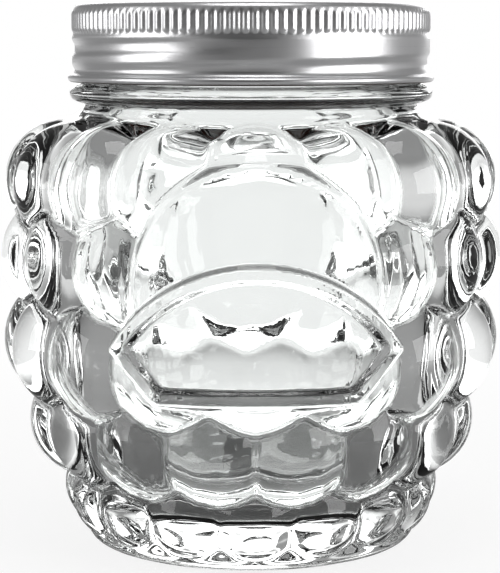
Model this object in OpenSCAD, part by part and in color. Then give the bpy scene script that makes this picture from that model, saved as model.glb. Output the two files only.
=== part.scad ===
// Pressed-glass jam pot shaped like a berry, with a two-part metal lid:
// a flat steel disc with a bonded sealing ring, held down by a knurled screw band.
// The pot's axis is Z, it stands on Z = 0, and its arched panel faces -Y.

/* [Glass body] */
// Radius from the axis to the panel's raised rim
body_r = 53; // [51:0.5:55]
// Height of the sealing rim above the table
rim_h = 109.4; // [108:0.2:116]
// Radius of the ring that the pot stands on
foot_r = 30.5; // [28:0.5:32]
// Glass left under the hollow, at the foot
base_t = 8.5; // [6:0.5:12]
// Glass between the hollow and the body behind the berries
wall_t = 2.4; // [1.8:0.1:3]
// Glass round the lowest part of the hollow
foot_wall_t = 4.2; // [3.6:0.2:6]
// Rounding of the hollow's floor
floor_round = 9.5; // [7:0.5:10]

/* [Berries] */
// Radius of one berry in the widest row
berry_r = 12; // [11.5:0.25:13]
// Number of berries round the body
berry_count = 16; // [14:2:20]

/* [Smooth faces and panel] */
// Radius of the smooth round face at the front and at the back
window_r = 23; // [20:0.5:25]
// Distance of its middle below the shoulder
window_below = 32; // [30:0.5:34]
// How far its face stays below the panel's rim
window_drop = 0.5; // [0.3:0.1:0.6]
// Width of the panel between its side corners
panel_w = 56; // [46:1:60]
// Width of the panel along its straight lower edge
panel_foot_w = 39; // [30:1:44]
// Height of the panel's lower edge above the table
panel_z = 36.5; // [34:0.5:40]
// Height from the lower edge to the side corners
panel_side_h = 9.8; // [6:0.2:12]
// Height from the lower edge to the crown of the arch
panel_h = 26; // [22:0.5:30]
// Width of the raised rim round the panel
panel_rim_w = 2.6; // [1.6:0.2:4]
// How far the panel's face lies below its rim
panel_depth = 0.9; // [0.4:0.1:1.4]

/* [Neck and mouth] */
// Width of the glass rim round the mouth
rim_w = 4.6; // [4:0.2:5.6]
// Room for the thread between the neck and the band
thread_room = 1.85; // [1.4:0.05:2.2]
// How far the bead stands out past the band
bead_out = 0.6; // [0.1:0.1:1.4]
// Height of the bead
bead_h = 3.4; // [2.4:0.2:4]
// Height of the groove between the bead and the band
bead_gap = 0.6; // [0.4:0.1:1.2]
// Height of the plain neck between the shoulder and the bead
neck_foot_h = 1.2; // [0.8:0.2:3]

/* [Screw band] */
// Outer radius of the band's wall
band_r = 36.8; // [36.6:0.1:38]
// Thickness of the band's sheet steel
band_t = 0.4; // [0.3:0.05:0.5]
// Height of the band
band_h = 15.8; // [14:0.2:17]
// Width of the flange that holds the disc down
flange_w = 6.4; // [5:0.2:7]
// Radius of the bend between flange and wall
band_bend = 1.5; // [1:0.1:2]
// Number of grip ribs
rib_count = 130; // [90:2:150]
// Depth of the grooves between the grip ribs
rib_depth = 0.35; // [0.2:0.05:0.45]
// Height of the ribbed belt
rib_h = 4.4; // [3:0.2:6]
// Radius of the rolled lower edge
curl_r = 0.8; // [0.6:0.05:1]

/* [Lid disc and sealing ring] */
// Clearance between the disc's edge and the band's wall
disc_play = 1.15; // [0.8:0.05:1.6]
// Thickness of the disc's sheet steel
disc_t = 0.3; // [0.2:0.05:0.4]
// Depth of the step from the rim channel to the middle
disc_step = 0.9; // [0.6:0.1:1.4]
// Radius of the shallow raised button in the middle
button_r = 19; // [14:0.5:22]
// Height of the button
button_h = 0.5; // [0.3:0.1:0.8]
// Thickness of the sealing ring
seal_t = 0.8; // [0.6:0.1:1.2]
// Width of the sealing ring
seal_w = 3; // [2.2:0.1:3.4]

/* [Hidden] */

// Clearance between faces that rest on each other
seat_gap = 0.05;
// How far a cutting shape runs past what it cuts
overrun = 1;
// Roundings of the foot, the mouth and the shoulder
foot_round = 3.4;
mouth_round = 1.1;
// Depth of the push-up under the foot, and width of the ring left round it
pushup_h = 1.6;
foot_ring_w = 4.5;
// Tall, gentle curve of the smooth faces and of the panel
face_curve_r = 300;
// Berries whose peak lies within this share of a smooth face's radius are left out
covered_share = 0.6;
// Points on an arc of a profile
arc_steps = 8;
curve_steps = 16;

// Rows of berries from the shoulder down. Each row gives its height as a share of
// shoulder_h, its reach as a share of body_r, its berry size as a share of berry_r,
// and the part of a step by which it is turned.
row_shares = [
    [0.850, 0.966, 1.04, 0],
    [0.672, 0.986, 1.00, 0.5],
    [0.467, 0.978, 1.04, 0],
    [0.278, 0.885, 0.96, 0.5],
    [0.122, 0.742, 0.75, 0]];

// Body behind the berries. The lower points give their radius as a share of the way from
// the foot's edge to body_r, the upper ones as a share of the way from the neck to body_r.
// The second number is the height as a share of shoulder_h.
lower_shares = [
    [0.023, 0.08], [0.162, 0.18], [0.325, 0.27], [0.437, 0.36], [0.513, 0.46], [0.556, 0.57]];
upper_shares = [
    [0.590, 0.68], [0.586, 0.79], [0.537, 0.86], [0.447, 0.91], [0.298, 0.955]];

// Radii that follow from the band: its inside, the neck, the mouth, the bead and the disc
band_inner_r = band_r - rib_depth - band_t;
finish_r = band_inner_r - thread_room;
mouth_r = finish_r - rim_w;
bead_r = band_r + bead_out;
disc_r = band_inner_r - disc_play;
seal_r = finish_r - mouth_round / 2;
pushup_r = foot_r - foot_ring_w;

// Heights that follow from the rim down
disc_z = rim_h + seat_gap + seal_t;
band_top = disc_z + disc_t + seat_gap + band_t;
band_foot = band_top - band_h;
bead_z = band_foot - bead_gap - bead_h / 2;
shoulder_h = bead_z - bead_h / 2 - neck_foot_h;
window_z = shoulder_h - window_below;
step_angle = 360 / berry_count;

// Outer line of the body behind the berries, from the foot to the neck
foot_edge = foot_r + foot_round;
core_line = concat(
    [for (p = lower_shares) [foot_edge + p[0] * (body_r - foot_edge), p[1] * shoulder_h]],
    [for (p = upper_shares) [finish_r + p[0] * (body_r - finish_r), p[1] * shoulder_h]],
    [[finish_r, shoulder_h]]);

// Points of an arc about a centre, from one angle to another
function arc(centre, r, from, to, steps = arc_steps) =
    [for (i = [0:steps]) centre + r * [cos(from + (to - from) * i / steps),
                                       sin(from + (to - from) * i / steps)]];

// Direction from one point to the next, and the normal on its left
function unit(v) = v / norm(v);
function left(v) = [-v[1], v[0]];

// A path shifted to its left by t, with mitred corners
function beside(path, t) = [
    for (i = [0:len(path) - 1])
        let (before = unit(path[max(i, 1)] - path[max(i, 1) - 1]),
             after = unit(path[min(i + 1, len(path) - 1)] - path[min(i, len(path) - 2)]),
             n = unit(left(before) + left(after)))
        path[i] + n * t / (n * left(after))];

// Outline of a bent sheet of thickness t that follows a path
function sheet(path, t) =
    let (other = beside(path, t))
    concat(path, [for (i = [len(other) - 1:-1:0]) other[i]]);

// Barrel of radius r at the height of the smooth faces' middle, gently curved up and down,
// tall enough for the smooth faces and the panel
module barrel(r) {
    low = min(window_z - window_r, panel_z) - overrun;
    high = max(window_z + window_r, panel_z + panel_h) + overrun;
    points = arc([r - face_curve_r, window_z], face_curve_r,
                 asin((low - window_z) / face_curve_r), asin((high - window_z) / face_curve_r));
    rotate_extrude($fn = 96)
        polygon(concat([[0, points[0][1]]], points, [[0, points[arc_steps][1]]]));
}

// One ring of berries, without those that a smooth face covers
module berry_row(shares) {
    r = berry_r * shares[2];
    reach = body_r * shares[1];
    z = shoulder_h * shares[0];
    for (i = [0:berry_count - 1])
        let (a = (i + shares[3]) * step_angle)
            if (norm([reach * sin(a), z - window_z]) > covered_share * window_r)
                rotate([0, 0, a])
                    translate([0, r - reach, z])
                        sphere(r = r, $fn = 48);
}

// Turned body behind the berries, with its rounded foot, neck, bead and rim
module body_core() {
    foot = arc([foot_r, foot_round], foot_round, -90, 0);
    bead = arc([bead_r - bead_h / 2, bead_z], bead_h / 2, -90, 90);
    rim = arc([finish_r - mouth_round, rim_h - mouth_round], mouth_round, 0, 90);
    rotate_extrude($fn = 96)
        polygon(concat(
            [[0, 0]], foot, core_line, bead,
            [[finish_r, bead_z + bead_h / 2]], rim,
            [[0, rim_h]]));
}

// Smooth hollow with a rounded floor and an open mouth. Its wall follows the body's.
module hollow() {
    wall = beside(core_line, wall_t);
    floor_r = core_line[1][0] - foot_wall_t;
    lip = mouth_r + mouth_round;
    rotate_extrude($fn = 96)
        polygon(concat(
            [[0, base_t]],
            arc([floor_r - floor_round, base_t + floor_round], floor_round, -90, 0),
            [for (i = [2:len(wall) - 2]) wall[i]],
            [[mouth_r, bead_z]],
            arc([lip, rim_h - mouth_round], mouth_round, 180, 90),
            [[lip, rim_h + overrun], [0, rim_h + overrun]]));
}

// Outline of the arched panel, drawn in by inset: an arch on two slanted sides
function panel_outline(inset) =
    let (half = panel_w / 2, foot_half = panel_foot_w / 2, rise = panel_h - panel_side_h,
         arch_r = (half * half + rise * rise) / (2 * rise),
         arch_z = panel_h - arch_r,
         along = unit([half - foot_half, panel_side_h]),
         side = [foot_half, 0] + left(along) * inset,
         low = side + along * (inset - side[1]) / along[1],
         from_centre = low - [0, arch_z],
         b = from_centre * along,
         reach = -b + sqrt(b * b - from_centre * from_centre + pow(arch_r - inset, 2)),
         corner = low + along * reach,
         a = atan2(corner[1] - arch_z, corner[0]))
    concat([[-low[0], low[1]], low],
           arc([0, arch_z], arch_r - inset, a, 180 - a, curve_steps));

// Column in front of the pot with the panel's outline
module panel_column(inset) {
    translate([0, -body_r / 2, panel_z])
        rotate([90, 0, 0])
            linear_extrude(height = body_r)
                polygon(panel_outline(inset));
}

// Solid that backs the panel and carries its rim
module panel_plate() {
    intersection() {
        panel_column(0);
        barrel(body_r);
    }
}

// Glass taken away in front of the panel's bare face
module panel_recess() {
    difference() {
        panel_column(panel_rim_w);
        barrel(body_r - panel_depth);
    }
}

// Round columns through the body at the front and at the back
module window_columns() {
    for (a = [0, 180])
        rotate([0, 0, a])
            translate([0, -body_r / 2, window_z])
                rotate([90, 0, 0])
                    cylinder(r = window_r, h = body_r, $fn = 96);
}

// Smooth round faces that fill the valleys between the berries
module windows() {
    intersection() {
        window_columns();
        barrel(body_r - window_drop);
    }
}

// Shallow dome cut into the underside
module pushup() {
    ball_r = (pushup_r * pushup_r + pushup_h * pushup_h) / (2 * pushup_h);
    translate([0, 0, pushup_h - ball_r])
        sphere(r = ball_r, $fn = 96);
}

module glass_jar() {
    color([0.86, 0.93, 0.92, 0.45])
        difference() {
            union() {
                body_core();
                for (shares = row_shares)
                    berry_row(shares);
                windows();
                panel_plate();
            }
            panel_recess();
            hollow();
            pushup();
        }
}

// Pressed disc: a channel round the edge for the sealing ring, a step down to the middle
// and a shallow button
module lid_disc() {
    top = disc_z + disc_t;
    step_r = mouth_r - disc_step;
    path = [
        [0, top - disc_step + button_h],
        [button_r, top - disc_step + button_h],
        [button_r + 2 * button_h, top - disc_step],
        [step_r - disc_step, top - disc_step],
        [step_r, top],
        [disc_r - disc_t, top],
        [disc_r, top - disc_t],
        [disc_r, top - seal_t]];
    color([0.80, 0.81, 0.82])
        rotate_extrude($fn = 96)
            polygon(sheet(path, -disc_t));
}

module sealing_ring() {
    color([0.45, 0.16, 0.11])
        translate([0, 0, rim_h + seat_gap])
            difference() {
                cylinder(r = seal_r, h = seal_t, $fn = 96);
                translate([0, 0, -overrun])
                    cylinder(r = seal_r - seal_w, h = seal_t + 2 * overrun, $fn = 96);
            }
}

// Belt of grip ribs: a star-shaped prism with bevelled ends, hollow inside the band's wall
module rib_belt() {
    wall_r = band_r - rib_depth;
    root_r = wall_r - band_t / 2;
    belt_top = band_top - band_bend;
    points = [for (i = [0:2 * rib_count - 1])
        let (r = i % 2 == 0 ? band_r : root_r + band_t / 4, a = 180 * i / rib_count)
        r * [cos(a), sin(a)]];
    bevel = band_r - root_r;
    intersection() {
        translate([0, 0, belt_top - rib_h - overrun])
            linear_extrude(height = rib_h + 2 * overrun)
                polygon(points);
        rotate_extrude($fn = 96)
            polygon([
                [root_r, belt_top], [band_r, belt_top - bevel],
                [band_r + overrun, belt_top - bevel], [band_r + overrun, belt_top - rib_h + bevel],
                [band_r, belt_top - rib_h + bevel], [root_r, belt_top - rib_h]]);
    }
}

// Screw band: a flange over the disc, a bend, the ribbed wall and a rolled lower edge
module screw_band() {
    wall_r = band_r - rib_depth;
    path = concat(
        [[band_r - flange_w, band_top]],
        arc([wall_r - band_bend, band_top - band_bend], band_bend, 90, 0),
        [[wall_r, band_foot + curl_r]]);
    color([0.78, 0.78, 0.79])
        union() {
            rotate_extrude($fn = 96)
                polygon(sheet(path, -band_t));
            rib_belt();
            rotate_extrude($fn = 96)
                translate([wall_r + curl_r / 2, band_foot + curl_r])
                    circle(r = curl_r, $fn = 32);
        }
}

glass_jar();
lid_disc();
sealing_ring();
screw_band();
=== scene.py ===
import math

import bpy
import numpy as np
from mathutils import Matrix, Vector


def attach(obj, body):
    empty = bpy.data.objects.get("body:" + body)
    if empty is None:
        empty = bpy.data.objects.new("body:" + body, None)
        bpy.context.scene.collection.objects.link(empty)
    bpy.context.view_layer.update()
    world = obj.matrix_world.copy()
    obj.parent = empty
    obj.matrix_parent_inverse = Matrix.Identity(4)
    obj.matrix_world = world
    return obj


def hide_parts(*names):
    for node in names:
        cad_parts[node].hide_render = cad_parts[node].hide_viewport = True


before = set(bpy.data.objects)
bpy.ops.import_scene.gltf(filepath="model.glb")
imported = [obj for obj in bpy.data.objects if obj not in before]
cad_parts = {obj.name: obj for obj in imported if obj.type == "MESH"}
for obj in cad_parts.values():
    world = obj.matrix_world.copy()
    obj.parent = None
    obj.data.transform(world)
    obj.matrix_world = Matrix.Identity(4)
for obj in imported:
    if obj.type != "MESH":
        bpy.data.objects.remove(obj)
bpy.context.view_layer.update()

mm = 0.001


# shared helpers

def smoothStep(t):
    # 3t^2 - 2t^3 with t held between 0 and 1
    t = np.clip(t, 0.0, 1.0)
    return t * t * (3.0 - 2.0 * t)


def softMax(layers, k):
    # k * ln(sum(exp(layer / k))): the highest layer wins, and creases get a fillet of about k
    top = np.max(layers, axis=0)
    return top + k * np.log(np.sum([np.exp((a - top) / k) for a in layers], axis=0))


def arcPoints(cx, cz, r, start, end, count):
    # c + r * (cos a, sin a) for evenly spaced angles a, in degrees
    a = np.radians(np.linspace(start, end, count))
    return np.stack([cx + r * np.cos(a), cz + r * np.sin(a)], axis=1)


def resample(points, step):
    # points at equal steps of arc length along a broken line
    points = np.asarray(points, float)
    run = np.concatenate([[0.0], np.cumsum(np.linalg.norm(np.diff(points, axis=0), axis=1))])
    at = np.linspace(0.0, run[-1], max(2, int(round(run[-1] / step)) + 1))
    return np.stack([np.interp(at, run, points[:, k]) for k in range(2)], axis=1)


def smoothPath(points, rounds):
    # each round moves every inner point to a quarter, a half and a quarter of its neighbours
    points = np.array(points, float)
    for _ in range(rounds):
        points[1:-1] = 0.25 * points[:-2] + 0.5 * points[1:-1] + 0.25 * points[2:]
    return points


def gridFaces(rows, cols, closedRows):
    # quads between neighbouring rows; columns always close, rows close when asked
    i = np.arange(rows if closedRows else rows - 1)
    j = np.arange(cols)
    a = i[:, None] * cols + j
    b = i[:, None] * cols + (j + 1) % cols
    c = ((i[:, None] + 1) % rows) * cols + (j + 1) % cols
    d = ((i[:, None] + 1) % rows) * cols + j
    return np.stack([a, b, c, d], axis=-1).reshape(-1, 4)


def addMesh(name, points, faces, caps=()):
    # caps are (row of vertex numbers, centre vertex number, turn) fans that close a pole
    quads = [tuple(f) for f in faces.tolist()]
    for ring, centre, turn in caps:
        for p, q in zip(ring, np.roll(ring, -1)):
            quads.append((int(centre), int(q), int(p)) if turn else (int(centre), int(p), int(q)))
    mesh = bpy.data.meshes.new(name)
    mesh.from_pydata((points * mm).tolist(), [], quads)
    mesh.polygons.foreach_set("use_smooth", np.ones(len(mesh.polygons), bool))
    mesh.update()
    piece = bpy.data.objects.new(name, mesh)
    bpy.context.scene.collection.objects.link(piece)
    return piece


def turnPoints(r, theta, z):
    # (r sin, -r cos, z): theta 0 is the front, positive towards +X
    return np.stack([r * np.sin(theta), -r * np.cos(theta), z], axis=-1)


# shader maths

class Value:
    # wraps a socket, so that sums and products of masks can be written as plain expressions
    def __init__(self, maker, socket):
        self.maker, self.socket = maker, socket

    def math(self, operation, *sides):
        return self.maker.add("ShaderNodeMath", {"operation": operation}, dict(enumerate(sides)))

    def __add__(self, other):
        return self.math("ADD", self, other)

    def __sub__(self, other):
        return self.math("SUBTRACT", self, other)

    def __rsub__(self, other):
        return self.math("SUBTRACT", other, self)

    def __mul__(self, other):
        return self.math("MULTIPLY", self, other)

    def __truediv__(self, other):
        return self.math("DIVIDE", self, other)

    def over(self, low, high):
        # 0 below low, 1 above high, smooth between
        return self.maker.add("ShaderNodeMapRange", {"interpolation_type": "SMOOTHSTEP"},
                              {0: self, 1: low, 2: high, 3: 0.0, 4: 1.0})


class Maker:
    # one method makes any node: its type, its settings, then what goes into its sockets
    def __init__(self, tree):
        self.tree = tree
        tree.nodes.clear()

    def add(self, kind, settings=None, inputs=None, out=0):
        node = self.tree.nodes.new(kind)
        for key, what in (settings or {}).items():
            setattr(node, key, what)
        for key, what in (inputs or {}).items():
            socket = node.inputs[key]
            what = what.socket if isinstance(what, Value) else what
            if isinstance(what, bpy.types.NodeSocket):
                self.tree.links.new(what, socket)
            else:
                socket.default_value = what
        return Value(self, node.outputs[out])

    def place(self):
        # the piece's own coordinates, in metres
        return self.add("ShaderNodeTexCoord", out=3)

    def split(self, vector):
        node = self.tree.nodes.new("ShaderNodeSeparateXYZ")
        self.tree.links.new(vector.socket, node.inputs[0])
        return [Value(self, o) for o in node.outputs]

    def noise(self, spot, scale, detail=3.0, roughness=0.5):
        return self.add("ShaderNodeTexNoise", None, {
            "Vector": spot, "Scale": scale, "Detail": detail, "Roughness": roughness})

    def blend(self, factor, a, b):
        # the colour a where the factor is 0, b where it is 1
        return self.add("ShaderNodeMix", {"data_type": "RGBA"}, {0: factor, 6: a, 7: b}, 2)


def newMaterial(name):
    material = bpy.data.materials.new(name)
    material.use_nodes = True
    return material, Maker(material.node_tree)


def finishMaterial(maker, shader):
    node = maker.tree.nodes.new("ShaderNodeOutputMaterial")
    maker.tree.links.new(shader.socket, node.inputs["Surface"])


# glass body

glassJar = {
    "reach": 53.0,              # radius of the panel's rim, as on the solid pot
    "shoulder": 90.0,           # height where the neck begins
    "rimHeight": 109.4,
    "footRadius": 31.2,
    "footRound": 3.4,
    "baseThickness": 8.5,
    "berry": 12.4,              # radius of a berry in the widest row
    "berryCount": 16,
    "fillet": 0.6,              # softness of the valleys between berries
    "undulation": 0.22,         # share of the outer relief that the inner wall follows
    "mouth": 29.6,
    "mouthFoot": 93.5,          # height where the hollow widens below the mouth
    "finish": 34.2,             # radius of the neck that carries the thread
    "finishFoot": 96.0,
    "lip": 1.1,                 # rounding of the rim
    "bead": 37.4,
    "beadHeight": 3.4,
    "beadMiddle": 92.9,
    "beadTop": 95.0,
    "pushUp": 1.4,              # height of the underside's middle
    "footBlend": (1.2, 4.0),    # height where the berries begin, and how far they fade
    "shoulderBlend": (0.3, 1.5),    # the same, down from the shoulder
    "innerFoot": (14.0, 8.0),   # height where the inner wall's relief begins, and how far it fades
    "innerTop": (86.0, 6.0),
    "rowShares": [              # height, reach and size of each row, and its part of a turn
        (0.834, 0.960, 1.02, 0.0),
        (0.670, 0.980, 1.02, 0.5),
        (0.468, 0.972, 1.06, 0.0),
        (0.294, 0.876, 0.98, 0.5),
        (0.126, 0.738, 0.78, 0.0)],
    "coreShares": [
        (0.648, 0.08), (0.698, 0.18), (0.797, 0.36), (0.840, 0.57),
        (0.856, 0.79), (0.816, 0.89), (0.761, 0.95)],
    "hollowShares": [
        (0.620, 0.20), (0.710, 0.30), (0.760, 0.40), (0.785, 0.50), (0.797, 0.60),
        (0.802, 0.70), (0.802, 0.80), (0.795, 0.86), (0.772, 0.90), (0.735, 0.918),
        (0.562, 0.950), (0.559, 0.975)],
}

jarRays = {
    "radius": 24.0,             # of the inner line that the rays start from
    "lowPivot": 14.0,
    "highPivot": 76.0,
    "footFan": -79.0,
    "shoulderFan": 56.0,
    "footRays": 30,
    "shoulderRays": 34,
    "fineFrom": 33.5,
    "fineTo": 64.5,
    "fine": 0.43,
    "coarse": 0.85,
}

jarMesh = {
    "columnFine": 0.50,         # degrees between columns across the panel
    "columnCoarse": 1.56,
    "fineHalf": 37.0,           # degrees to each side of the front that are finely spaced
    "outlineStep": 0.5,
    "outlineRounds": 10,        # of smoothing, which takes the corners off the outline
    "overrun": 4.0,             # how far the core's outline runs on above the shoulder
    "neckStep": 0.45,
    "neckRounds": 2,
    "wallStep": 0.42,
    "innerStep": 2.2,
    "innerRounds": 6,
    "floorMiddle": 5.0,         # radius where the floor's closing fan begins
    "reliefFrom": 8.0,          # heights between which the outer relief is read
    "reliefTo": 84.0,
    "reliefRounds": 6,          # of blurring it
    "reliefReach": 4,           # columns that one round reaches
}

smoothFace = {
    "radius": 23.0,             # round smooth face, front and back
    "height": 58.0,
    "drop": 1.5,                # how far it lies below the panel's rim
    "curve": 300.0,
    "span": 60.0,               # half the height over which the barrel curves
    "coveredShare": 0.6,
    "slope": 1.8,               # how steeply its edge falls into the valleys
}

arcPanel = {
    "width": 56.0,
    "footWidth": 39.0,
    "footHeight": 36.5,
    "sideHeight": 9.8,
    "height": 26.0,
    "rim": 2.6,
    "depth": 1.1,
    "edge": 0.6,                # width over which an edge rises
    "corner": 0.25,             # softness of the outline's corners
    "fillet": 0.12,
    "slope": 3.0,               # how steeply it falls outside its rim
    "away": 50.0,               # distance that stands for the back of the pot
}

neckThread = {
    "pitch": 5.08,
    "height": 1.2,
    "halfWidth": 1.15,
    "start": 99.8,              # height of the thread at the front, first pass
    "from": 95.8,               # heights between which the thread may rise
    "to": 107.8,
    "runOut": 0.6,
    "turns": 1.5,
    "fade": 0.06,               # part of a turn over which it runs out
}


def faceBarrel(reach, z):
    # reach - curve + sqrt(curve^2 - (z - height)^2): a barrel, widest at the smooth face's middle
    curve, span = smoothFace["curve"], smoothFace["span"]
    return reach - curve + np.sqrt(curve ** 2 - np.clip(z - smoothFace["height"], -span, span) ** 2)


def panelDistance(x, z):
    # distance to the panel's outline, negative inside: the highest of its arch, sides and foot
    p = arcPanel
    half, footHalf = p["width"] / 2, p["footWidth"] / 2
    rise = p["height"] - p["sideHeight"]
    archR = (half ** 2 + rise ** 2) / (2 * rise)
    up = z - p["footHeight"]
    arch = np.hypot(x, up - (p["height"] - archR)) - archR
    along = np.array([half - footHalf, p["sideHeight"]])
    along = along / np.linalg.norm(along)
    side = (np.abs(x) - footHalf) * along[1] - up * along[0]
    return softMax(np.stack([arch, side, -up + 0 * side]), p["corner"])


def jarProfile():
    # the core's outline from the foot to the neck
    j = glassJar
    core = [(0.0, 0.0)]
    core += arcPoints(j["footRadius"], j["footRound"], j["footRound"], -90, 0, 9).tolist()
    core += [(a * j["reach"], b * j["shoulder"]) for a, b in j["coreShares"]]
    core += [(j["finish"], j["shoulder"]), (j["finish"], j["shoulder"] + jarMesh["overrun"])]
    return smoothPath(resample(core, jarMesh["outlineStep"]), jarMesh["outlineRounds"])


def jarSpine():
    # where the surface is looked for: rays from an inner line, level along the belly,
    # fanned out downwards at the foot and upwards at the shoulder
    s = jarRays
    low = np.radians(np.linspace(s["footFan"], 0, s["footRays"], endpoint=False))
    high = np.radians(np.linspace(0, s["shoulderFan"], s["shoulderRays"] + 1)[1:])
    level = np.concatenate([
        np.arange(s["lowPivot"], s["fineFrom"], s["coarse"]),
        np.arange(s["fineFrom"], s["fineTo"], s["fine"]),
        np.arange(s["fineTo"], s["highPivot"] + 0.1, s["coarse"])])
    z = np.concatenate([np.full(len(low), s["lowPivot"]), level, np.full(len(high), level[-1])])
    tilt = np.concatenate([low, np.zeros(len(level)), high])
    return z, tilt


def rayToProfile(startR, startZ, tilt, profile):
    # how far each ray runs before it meets the broken line, taking its furthest crossing
    far = np.zeros(len(startZ))
    for n in range(len(startZ)):
        c, s = math.cos(tilt[n]), math.sin(tilt[n])
        along = (profile[:, 0] - startR) * c + (profile[:, 1] - startZ[n]) * s
        off = (profile[:, 1] - startZ[n]) * c - (profile[:, 0] - startR) * s
        cross = np.nonzero((off[:-1] <= 0) != (off[1:] <= 0))[0]
        share = off[cross] / (off[cross] - off[cross + 1])
        far[n] = np.max(along[cross] + share * (along[cross + 1] - along[cross]))
    return far


def outerReach(theta, z, tilt, coreFar):
    # distance along each ray to the highest of the core, the berries, the smooth faces and the
    # panel; a berry is met where t = -b + sqrt(b^2 - c), the far root of its sphere's equation
    j = glassJar
    startR = jarRays["radius"]
    c, s = np.cos(tilt), np.sin(tilt)
    layers = [coreFar + 0 * theta]
    for height, reach, size, turn in j["rowShares"]:
        ball = j["berry"] * size
        far = j["reach"] * reach
        middle = far - ball
        z0 = j["shoulder"] * height
        for i in range(j["berryCount"]):
            a = 2 * math.pi * (i + turn) / j["berryCount"]
            covered = math.hypot(far * math.sin(a), z0 - smoothFace["height"])
            if covered < smoothFace["coveredShare"] * smoothFace["radius"]:
                continue
            u = np.cos(theta - a)
            half = c * (startR - middle * u) + s * (z - z0)
            rest = startR ** 2 + middle ** 2 - 2 * middle * startR * u + (z - z0) ** 2 - ball ** 2
            inside = half ** 2 - rest
            t = np.sqrt(np.maximum(inside, 0)) - half
            layers.append(np.where((inside > 0) & (u > 0), t, 0.0))
    spread = np.tan(tilt)
    barrelR = faceBarrel(j["reach"] - smoothFace["drop"], z)
    atZ = z + spread * (barrelR - startR)
    barrelR = faceBarrel(j["reach"] - smoothFace["drop"], atZ)
    away = np.hypot(barrelR * np.sin(theta), atZ - smoothFace["height"])
    barrelR = barrelR - smoothFace["slope"] * np.maximum(away - smoothFace["radius"], 0.0)
    layers.append((barrelR - startR) / c)
    body = softMax(np.stack(layers), j["fillet"])
    atZ = atZ + 0 * theta
    rimTop = faceBarrel(j["reach"], atZ)
    off = panelDistance(rimTop * np.sin(theta), atZ)
    off = np.where(np.cos(theta) > 0, off, arcPanel["away"])
    plate = rimTop - arcPanel["slope"] * np.maximum(off, 0.0)
    body = softMax(np.stack([body, (plate - startR) / c]), arcPanel["fillet"])
    recess = smoothStep((-off - arcPanel["rim"]) / arcPanel["edge"] + 0.5)
    face = (faceBarrel(j["reach"] - arcPanel["depth"], atZ) - startR) / c
    return body + (face - body) * recess


def threadLift(theta, z, start, pitch, turns, fade, halfWidth):
    # 0..1 ridge whose middle climbs by the pitch each turn, run out at both ends
    lift = np.zeros(np.broadcast(theta, z).shape)
    for k in range(-1, 3):
        at = theta / (2 * math.pi) + k
        middle = start + pitch * at
        gone = (at + turns / 2 + 0.25, turns / 2 + 0.25 - at)
        keep = smoothStep(gone[0] / fade) * smoothStep(gone[1] / fade)
        lift = np.maximum(lift, keep * smoothStep(1.5 - np.abs(z - middle) / halfWidth))
    return lift


def frontColumns(fineStep, coarseStep, fineHalf):
    # angles round the pot: finely spaced across the panel, coarser elsewhere
    fine = np.arange(-fineHalf, fineHalf + 1e-6, fineStep)
    count = int(round((360 - 2 * fineHalf) / coarseStep))
    rest = np.linspace(fineHalf, 360 - fineHalf, count + 1)[1:-1]
    return np.radians(np.concatenate([fine, rest]))


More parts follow.
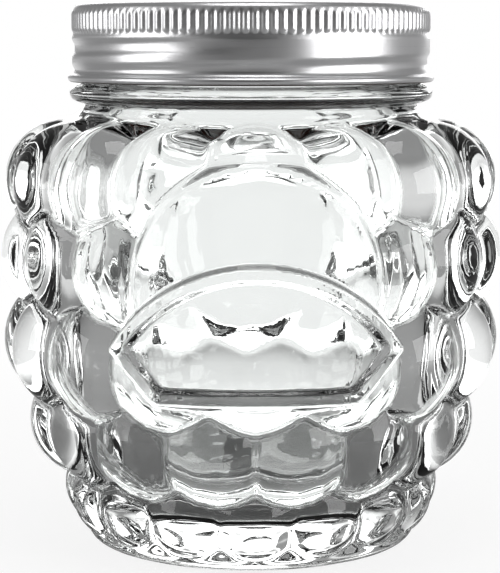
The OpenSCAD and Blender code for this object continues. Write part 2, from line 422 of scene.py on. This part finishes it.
def makeGlassJar():
    print("glass jar: outer wall")
    j = glassJar
    theta = frontColumns(jarMesh["columnFine"], jarMesh["columnCoarse"], jarMesh["fineHalf"])
    cols = len(theta)
    core = jarProfile()
    spineZ, tilt = jarSpine()
    coreFar = rayToProfile(jarRays["radius"], spineZ, tilt, core)
    far = outerReach(theta[None, :], spineZ[:, None], tilt[:, None], coreFar[:, None])
    coreZ = spineZ + coreFar * np.sin(tilt)
    footAt, footFade = j["footBlend"]
    topGap, topFade = j["shoulderBlend"]
    low = smoothStep((coreZ - footAt) / footFade)[:, None]
    high = smoothStep((j["shoulder"] - topGap - coreZ) / topFade)[:, None]
    far = coreFar[:, None] + (far - coreFar[:, None]) * low * high
    body = jarRays["radius"] + far * np.cos(tilt)[:, None]
    bodyZ = spineZ[:, None] + far * np.sin(tilt)[:, None]

    print("glass jar: neck and rim")
    lip, lipZ = j["lip"], j["rimHeight"] - j["lip"]
    beadHalf = j["beadHeight"] / 2
    bead = arcPoints(j["bead"] - beadHalf, j["beadMiddle"], beadHalf, -90, 90, 12)
    rim = arcPoints(j["finish"] - lip, lipZ, lip, 0, 90, 7)
    neck = [(j["finish"], j["shoulder"] + 0.6), *bead,
            (j["finish"] + 0.2, j["beadTop"]), (j["finish"], j["finishFoot"])]
    neck = smoothPath(resample(neck, jarMesh["neckStep"]), jarMesh["neckRounds"])
    wall = [(j["finish"], j["finishFoot"] + 0.4), (j["finish"], lipZ)]
    upper = np.concatenate([neck, resample(wall, jarMesh["wallStep"]), rim[1:]])
    upperZ = upper[:, 1:]
    t = neckThread
    lift = threadLift(theta[None, :], upperZ, t["start"], t["pitch"], t["turns"], t["fade"],
                      t["halfWidth"])
    guard = smoothStep((upperZ - t["from"]) / t["runOut"])
    guard = guard * smoothStep((t["to"] - upperZ) / t["runOut"])
    upperR = upper[:, :1] + t["height"] * lift * guard

    print("glass jar: hollow")
    inner = arcPoints(j["mouth"] + lip, lipZ, lip, 90, 180, 6).tolist()
    inner += [(j["mouth"], j["mouthFoot"])]
    inner += [(a * j["reach"], b * j["shoulder"]) for a, b in reversed(j["hollowShares"][1:])]
    floorR = j["hollowShares"][0][0] * j["reach"]
    floorZ = j["hollowShares"][0][1] * j["shoulder"]
    roundR = floorZ - j["baseThickness"]
    inner += arcPoints(floorR - roundR, floorZ, roundR, 0, -90, 9).tolist()
    inner += [(jarMesh["floorMiddle"], j["baseThickness"])]
    inner = smoothPath(resample(inner, 1.0), jarMesh["innerRounds"])
    inner = np.concatenate([inner[:1], resample(inner[1:], jarMesh["innerStep"])])
    innerR, innerZ = inner[:, :1], inner[:, 1:]
    levelZ = np.clip(innerZ[:, 0], jarMesh["reliefFrom"], jarMesh["reliefTo"])
    coreAt = rayToProfile(jarRays["radius"], levelZ, 0 * levelZ, core)[:, None]
    relief = outerReach(theta[None, :], levelZ[:, None], 0 * innerZ, coreAt) - coreAt
    far = jarMesh["reliefReach"]
    for _ in range(jarMesh["reliefRounds"]):
        relief = 0.5 * relief + 0.25 * (np.roll(relief, far, 1) + np.roll(relief, -far, 1))
    footAt, footFade = j["innerFoot"]
    topAt, topFade = j["innerTop"]
    where = smoothStep((innerZ - footAt) / footFade) * smoothStep((topAt - innerZ) / topFade)
    innerR = innerR + (relief - relief.mean()) * j["undulation"] * where

    r = np.concatenate([body, upperR + 0 * body[:1], innerR], axis=0)
    z = np.concatenate([bodyZ, upperZ + 0 * body[:1], innerZ + 0 * innerR], axis=0)
    points = turnPoints(r, theta[None, :], z).reshape(-1, 3)
    rows = len(r)
    middle = len(points)
    points = np.concatenate([points, [[0, 0, j["pushUp"]], [0, 0, j["baseThickness"]]]])
    faces = gridFaces(rows, cols, False)
    first = np.arange(cols)
    last = np.arange((rows - 1) * cols, rows * cols)
    piece = addMesh("glassPot", points, faces, [(first, middle, True), (last, middle + 1, False)])
    print("glass jar:", len(piece.data.polygons), "faces")
    return piece


def glassMaterial():
    material, m = newMaterial("clearGlass")
    spot = m.place()
    ripple = m.noise(spot, 55.0, 2.0) * 0.7 + m.noise(spot, 210.0, 2.0) * 0.3
    bump = m.add("ShaderNodeBump", None, {"Strength": 0.12, "Distance": 0.0006, "Height": ripple})
    shader = m.add("ShaderNodeBsdfPrincipled", None, {
        "Base Color": (0.975, 0.988, 0.982, 1), "Roughness": 0.0, "IOR": 1.5,
        "Transmission Weight": 1.0, "Normal": bump})
    finishMaterial(m, shader)
    return material


# lid

screwBand = {
    "radius": 36.8,
    "sheet": 0.4,
    "foot": 95.2,
    "top": 111.0,
    "bend": 1.5,
    "flange": 6.4,
    "ribs": 130,
    "ribDepth": 0.35,
    "ribHeight": 4.4,
    "ribRise": 0.2,             # how far the belt reaches into the bend
    "ribEnd": 0.7,              # height over which the ribs run out
    "ribPower": 0.8,            # below 1 the crests are wider than the valleys
    "curl": 0.8,
    "curlTop": 1.9,             # heights above the foot where curl, wall and inner side begin
    "wallFoot": 2.2,
    "innerFoot": 2.0,
    "swell": 0.8,               # how far the lower wall stands out, as a share of the ribs' depth
    "swellFoot": 1.6,
    "swellFades": (1.2, 0.8),   # height over which it ends above and below
    "groove": 0.55,             # depth of the rolled thread
    "grooveHalf": 1.25,
    "grooveStart": 98.1,
    "grooveFade": 0.12,         # part of a turn over which it runs out
    "outerStep": 0.45,
    "innerStep": 0.8,
    "columnsPerRib": 7,
}


def makeScrewBand():
    print("screw band")
    b = screwBand
    wall = b["radius"] - b["ribDepth"]
    cols = b["ribs"] * b["columnsPerRib"]
    theta = np.linspace(0, 2 * math.pi, cols, endpoint=False)
    top = b["top"]
    outer = [(b["radius"] - b["flange"], top)]
    outer += arcPoints(wall - b["bend"], top - b["bend"], b["bend"], 90, 0, 7).tolist()
    outer += [(wall, b["foot"] + b["wallFoot"]), (wall + 0.1, b["foot"] + b["curlTop"])]
    curl = arcPoints(wall + b["curl"] / 2, b["foot"] + b["curl"], b["curl"], 95, -180, 14)
    outer = np.concatenate([resample(outer, b["outerStep"]), curl])
    inner = [(wall - b["sheet"], b["foot"] + b["innerFoot"]), (wall - b["sheet"], top - b["bend"]),
             (wall - b["bend"], top - b["sheet"]), (b["radius"] - b["flange"], top - b["sheet"])]
    path = np.concatenate([outer, resample(inner, b["innerStep"])])
    r, z = path[:, :1] + 0 * theta, path[:, 1:] + 0 * theta
    beltTop = top - b["bend"] + b["ribRise"]
    beltFoot = top - b["bend"] - b["ribHeight"]
    belt = smoothStep((beltTop - z) / b["ribEnd"]) * smoothStep((z - beltFoot) / b["ribEnd"])
    isOuter = (np.arange(len(path)) < len(outer))[:, None]
    wave = 0.5 + 0.5 * np.cos(b["ribs"] * theta)
    r = r + np.where(isOuter, belt * b["ribDepth"] * wave ** b["ribPower"], 0.0)
    fadeUp, fadeDown = b["swellFades"]
    swell = smoothStep((beltFoot + 0.2 - z) / fadeUp)
    swell = swell * smoothStep((z - b["foot"] - b["swellFoot"]) / fadeDown)
    turn = (theta + math.pi) % (2 * math.pi) - math.pi
    groove = threadLift(turn[None, :], z, b["grooveStart"], neckThread["pitch"], neckThread["turns"],
                        b["grooveFade"], b["grooveHalf"])
    r = r + swell * (b["ribDepth"] * b["swell"] - b["groove"] * groove)
    points = turnPoints(r, theta[None, :], z).reshape(-1, 3)
    faces = gridFaces(len(path), cols, True)[:, ::-1]
    return addMesh("screwBandSheet", points, faces)


# lacquer colour darkened into painted shade: the steel's inner and under sides are shown nearly
# black to stand in for the shade there
lacquerAndPaintedShade = (0.045, 0.027, 0.024, 1)      # on the side of the steel that faces the food


def tinMaterial():
    # satin steel outside; inside the band and under its lower edge, dark lacquer with painted shade,
    # its colour darkened to stand in for the shade there
    material, m = newMaterial("satinTinplate")
    spot = m.place()
    x, y, z = m.split(spot)
    across = m.add("ShaderNodeVectorMath", {"operation": "LENGTH"}, {
        0: m.add("ShaderNodeCombineXYZ", None, {0: x, 1: y, 2: 0.0})}, out=1)
    lines = m.add("ShaderNodeCombineXYZ", None, {0: across * 9000.0, 1: 0.0, 2: z * 9000.0})
    brush = m.noise(lines, 1.0, 2.0, 0.6)
    cloud = m.noise(spot, 90.0, 3.0)
    bump = m.add("ShaderNodeBump", None, {"Strength": 0.25, "Distance": 0.00004, "Height": brush})
    outer = m.blend(cloud.over(0.35, 0.7), (0.72, 0.72, 0.73, 1), (0.80, 0.80, 0.81, 1))
    nx, ny, nz = m.split(m.add("ShaderNodeNewGeometry", out=1))
    outward = (nx * x + ny * y) / (across + 0.0001)
    # painted shade: faces turned inwards and faces turned down take the darkened lacquer colour and
    # lose most of their metal
    inside = (0.0 - outward).over(0.3, 0.6)
    inside = inside.math("MAXIMUM", inside, (0.0 - nz).over(0.5, 0.8))
    colour = m.blend(inside, outer, lacquerAndPaintedShade)
    shader = m.add("ShaderNodeBsdfPrincipled", None, {
        "Base Color": colour, "Metallic": 1.0 - inside * 0.9, "Roughness": brush * 0.12 + 0.24,
        "Normal": bump})
    finishMaterial(m, shader)
    return material


def discMaterial():
    # satin steel outside; on the side that faces the food, dark lacquer with painted shade, its
    # colour darkened to stand in for the shade under the lid
    material, m = newMaterial("discSteel")
    spot = m.place()
    x, y, z = m.split(m.add("ShaderNodeNewGeometry", out=1))
    # painted shade: faces turned down take the darkened lacquer colour and lose most of their metal
    inside = (0.0 - z).over(0.1, 0.5)
    cloud = m.noise(spot, 120.0, 3.0)
    fine = m.noise(spot, 2500.0, 2.0)
    bump = m.add("ShaderNodeBump", None, {"Strength": 0.15, "Distance": 0.00004, "Height": fine})
    outer = m.blend(cloud.over(0.35, 0.7), (0.74, 0.74, 0.75, 1), (0.82, 0.82, 0.83, 1))
    colour = m.blend(inside, outer, lacquerAndPaintedShade)
    shader = m.add("ShaderNodeBsdfPrincipled", None, {
        "Base Color": colour, "Metallic": 1.0 - inside * 0.9, "Roughness": fine * 0.1 + 0.26,
        "Normal": bump})
    finishMaterial(m, shader)
    return material


def sealMaterial():
    material, m = newMaterial("sealCompound")
    spot = m.place()
    grain = m.noise(spot, 900.0, 4.0)
    bump = m.add("ShaderNodeBump", None, {"Strength": 0.2, "Distance": 0.0001, "Height": grain})
    colour = m.blend(grain, (0.16, 0.045, 0.03, 1), (0.22, 0.065, 0.045, 1))
    shader = m.add("ShaderNodeBsdfPrincipled", None, {
        "Base Color": colour, "Roughness": grain * 0.2 + 0.4, "Normal": bump})
    finishMaterial(m, shader)
    return material


def dress(piece, material):
    piece.data.materials.clear()
    piece.data.materials.append(material)


# stage

studio = {
    "floorSize": 4.0,
    "floorDrop": 0.0002,        # how far it lies under the pot's foot
    "floorGrey": 0.86,          # of the part that takes shadows
    "ambient": 0.42,            # what matt surfaces receive from all round
    "glossLevel": 0.42,         # what metal sees of the room beside the pot
    "glossFront": 0.07,         # what metal sees behind the camera
    "frontFrom": 0.55,          # share of -Y in a ray where that begins, and where it is full
    "frontTo": 0.97,
    "wallEdge": 0.98,           # share of +Y in a ray that still meets the white wall behind
    "wallEnd": 0.62,            # share of +Y where the wall has ended
    "roomTone": 0.30,           # what glass sees of the room beside and in front
    "ceilingFrom": 0.04,        # sine of the height where the surroundings begin to darken
    "ceilingTo": 0.26,
    "ceilingTone": 0.12,
    # painted shadow: the floor's glow seen through glass is darkened close to the pot to stand in
    # for the pot's shadow
    "footShadowTone": 0.20,           # how dark the floor looks through glass, close to the pot
    "footFrom": 0.04,
    "footTo": 0.16,
    "floorSeen": 0.86,          # share of plain white in the floor near the pot
    "floorFade": (0.10, 0.30),  # distance from the pot over which it becomes all white
}


def rayKinds(m):
    # 1 for rays from the camera, off a gloss, and through glass
    path = m.tree.nodes.new("ShaderNodeLightPath")
    return [Value(m, path.outputs[name]) for name in
            ("Is Camera Ray", "Is Glossy Ray", "Is Transmission Ray")]


def wallLight(behind):
    # white straight behind the pot, dim beside it and in front
    room = studio["roomTone"]
    return behind.over(studio["wallEnd"], studio["wallEdge"]) * (1.0 - room) + room


def makeStage():
    print("stage")
    half, low, grey = studio["floorSize"], -studio["floorDrop"], studio["floorGrey"]
    corners = [(-half, -half, low), (half, -half, low), (half, half, low), (-half, half, low)]
    mesh = bpy.data.meshes.new("floor")
    mesh.from_pydata(corners, [], [(0, 1, 2, 3)])
    floor = bpy.data.objects.new("floor", mesh)
    bpy.context.scene.collection.objects.link(floor)
    material, m = newMaterial("paleFloor")
    seen, gloss, through = rayKinds(m)
    spot = m.place()
    away = m.add("ShaderNodeVectorMath", {"operation": "LENGTH"}, {0: spot}, out=1)
    x, y, z = m.split(spot)
    # painted shadow and painted light: seen through glass and off gloss the floor glows, darkened
    # close to the pot as the pot's shadow and brighter behind the pot like the lit wall
    near = 1.0 - away.over(studio["footFrom"], studio["footTo"])
    lit = (1.0 - near * (1.0 - studio["footShadowTone"])) * wallLight(y / (away + 0.001))
    tone = seen + (1.0 - seen) * lit
    plain = m.add("ShaderNodeBsdfDiffuse", None, {"Color": (grey, grey, grey, 1)})
    white = m.add("ShaderNodeEmission", None, {"Color": (1, 1, 1, 1), "Strength": tone})
    shown = seen.math("MAXIMUM", seen.math("MAXIMUM", seen, gloss), through)
    far = away.over(*studio["floorFade"]) * (1.0 - studio["floorSeen"]) + studio["floorSeen"]
    mix = m.add("ShaderNodeMixShader", None, {0: shown * far, 1: plain, 2: white})
    finishMaterial(m, mix)
    dress(floor, material)


def makeWorld():
    # white for the camera; through glass, a white wall behind the pot in a dim room
    world = bpy.data.worlds.new("studio")
    bpy.context.scene.world = world
    world.use_nodes = True
    m = Maker(world.node_tree)
    seen, gloss, through = rayKinds(m)
    x, y, z = m.split(m.add("ShaderNodeTexCoord", out=0))
    dark = z.over(studio["ceilingFrom"], studio["ceilingTo"])
    ceiling = 1.0 - dark * (1.0 - studio["ceilingTone"])
    front = (0.0 - y).over(studio["frontFrom"], studio["frontTo"])
    gleam = studio["glossLevel"] - front * (studio["glossLevel"] - studio["glossFront"])
    rest = 1.0 - seen - through - gloss
    matt = rest.math("MAXIMUM", rest, 0.0)
    level = (seen + through * wallLight(y) * ceiling + gloss * gleam * (ceiling * 0.5 + 0.5)
             + matt * studio["ambient"])
    node = world.node_tree.nodes.new("ShaderNodeBackground")
    world.node_tree.links.new(level.socket, node.inputs["Strength"])
    node.inputs["Color"].default_value = (1, 1, 1, 1)
    end = world.node_tree.nodes.new("ShaderNodeOutputWorld")
    world.node_tree.links.new(node.outputs[0], end.inputs["Surface"])


def aimAt(thing, place, target):
    # turns a lamp or camera so that its own -Z looks from place to target
    look = Vector(target) - Vector(place)
    turn = look.to_track_quat("-Z", "Y").to_matrix().to_4x4()
    thing.matrix_world = Matrix.Translation(place) @ turn


lamps = {
    # name: azimuth from the front, distance, height, width, tall, watts
    "rightPanel": (62, 0.9, 0.20, 0.80, 0.8, 6.5),
    "leftPanel": (-72, 0.9, 0.20, 0.60, 0.8, 3.2),
    "backPanel": (172, 1.0, 0.35, 0.9, 0.5, 3.0),
    "topPanel": (0, 0.15, 1.1, 0.5, 0.5, 2.5),
}


def makeLamps():
    for name, (azimuth, away, height, width, tall, watts) in lamps.items():
        light = bpy.data.lights.new(name, "AREA")
        light.shape = "RECTANGLE"
        light.size, light.size_y, light.energy = width, tall, watts
        lamp = bpy.data.objects.new(name, light)
        bpy.context.scene.collection.objects.link(lamp)
        a = math.radians(azimuth)
        aimAt(lamp, (away * math.sin(a), -away * math.cos(a), height), (0, 0, 0.06))


cameraSetup = {
    "distance": 0.418,          # from the pot's axis
    "height": 0.1059,           # level with the lid
    "turn": -1.3,               # degrees; the pot stands turned a little
    "focalPixels": 2015.0,
    "axisColumn": 251.0,        # where the pot's axis and the horizon fall in the photograph's frame
    "horizonRow": 29.0,
    "frameWidth": 500,
    "frameHeight": 573,
    "sensor": 24.0,
}


def makeCamera():
    # pitched down by atan((half height - horizon row) / focal length), all in pixels
    print("camera")
    c = cameraSetup
    data = bpy.data.cameras.new("camera")
    camera = bpy.data.objects.new("camera", data)
    bpy.context.scene.collection.objects.link(camera)
    data.sensor_width = c["sensor"]
    data.lens = data.sensor_width * c["focalPixels"] / c["frameHeight"]
    pitch = math.atan2(c["frameHeight"] / 2 - c["horizonRow"], c["focalPixels"])
    turn = math.radians(c["turn"])
    place = Vector((c["distance"] * math.sin(turn), -c["distance"] * math.cos(turn), c["height"]))
    aimAt(camera, place, place + Vector((-math.sin(turn), math.cos(turn), -math.tan(pitch))))
    data.shift_x = -(c["axisColumn"] - c["frameWidth"] / 2) / c["frameHeight"]
    data.clip_start = 0.01
    bpy.context.scene.camera = camera


bpy.context.scene.view_settings.view_transform = "Standard"
makeCamera()
makeWorld()
makeLamps()
makeStage()

jar = makeGlassJar()
dress(jar, glassMaterial())
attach(jar, "jar")
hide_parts("glass_jar")

band = makeScrewBand()
tin = tinMaterial()
dress(band, tin)
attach(band, "band")
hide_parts("screw_band")

for node, material in (("lid_disc", discMaterial()), ("sealing_ring", sealMaterial())):
    dress(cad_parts[node], material)
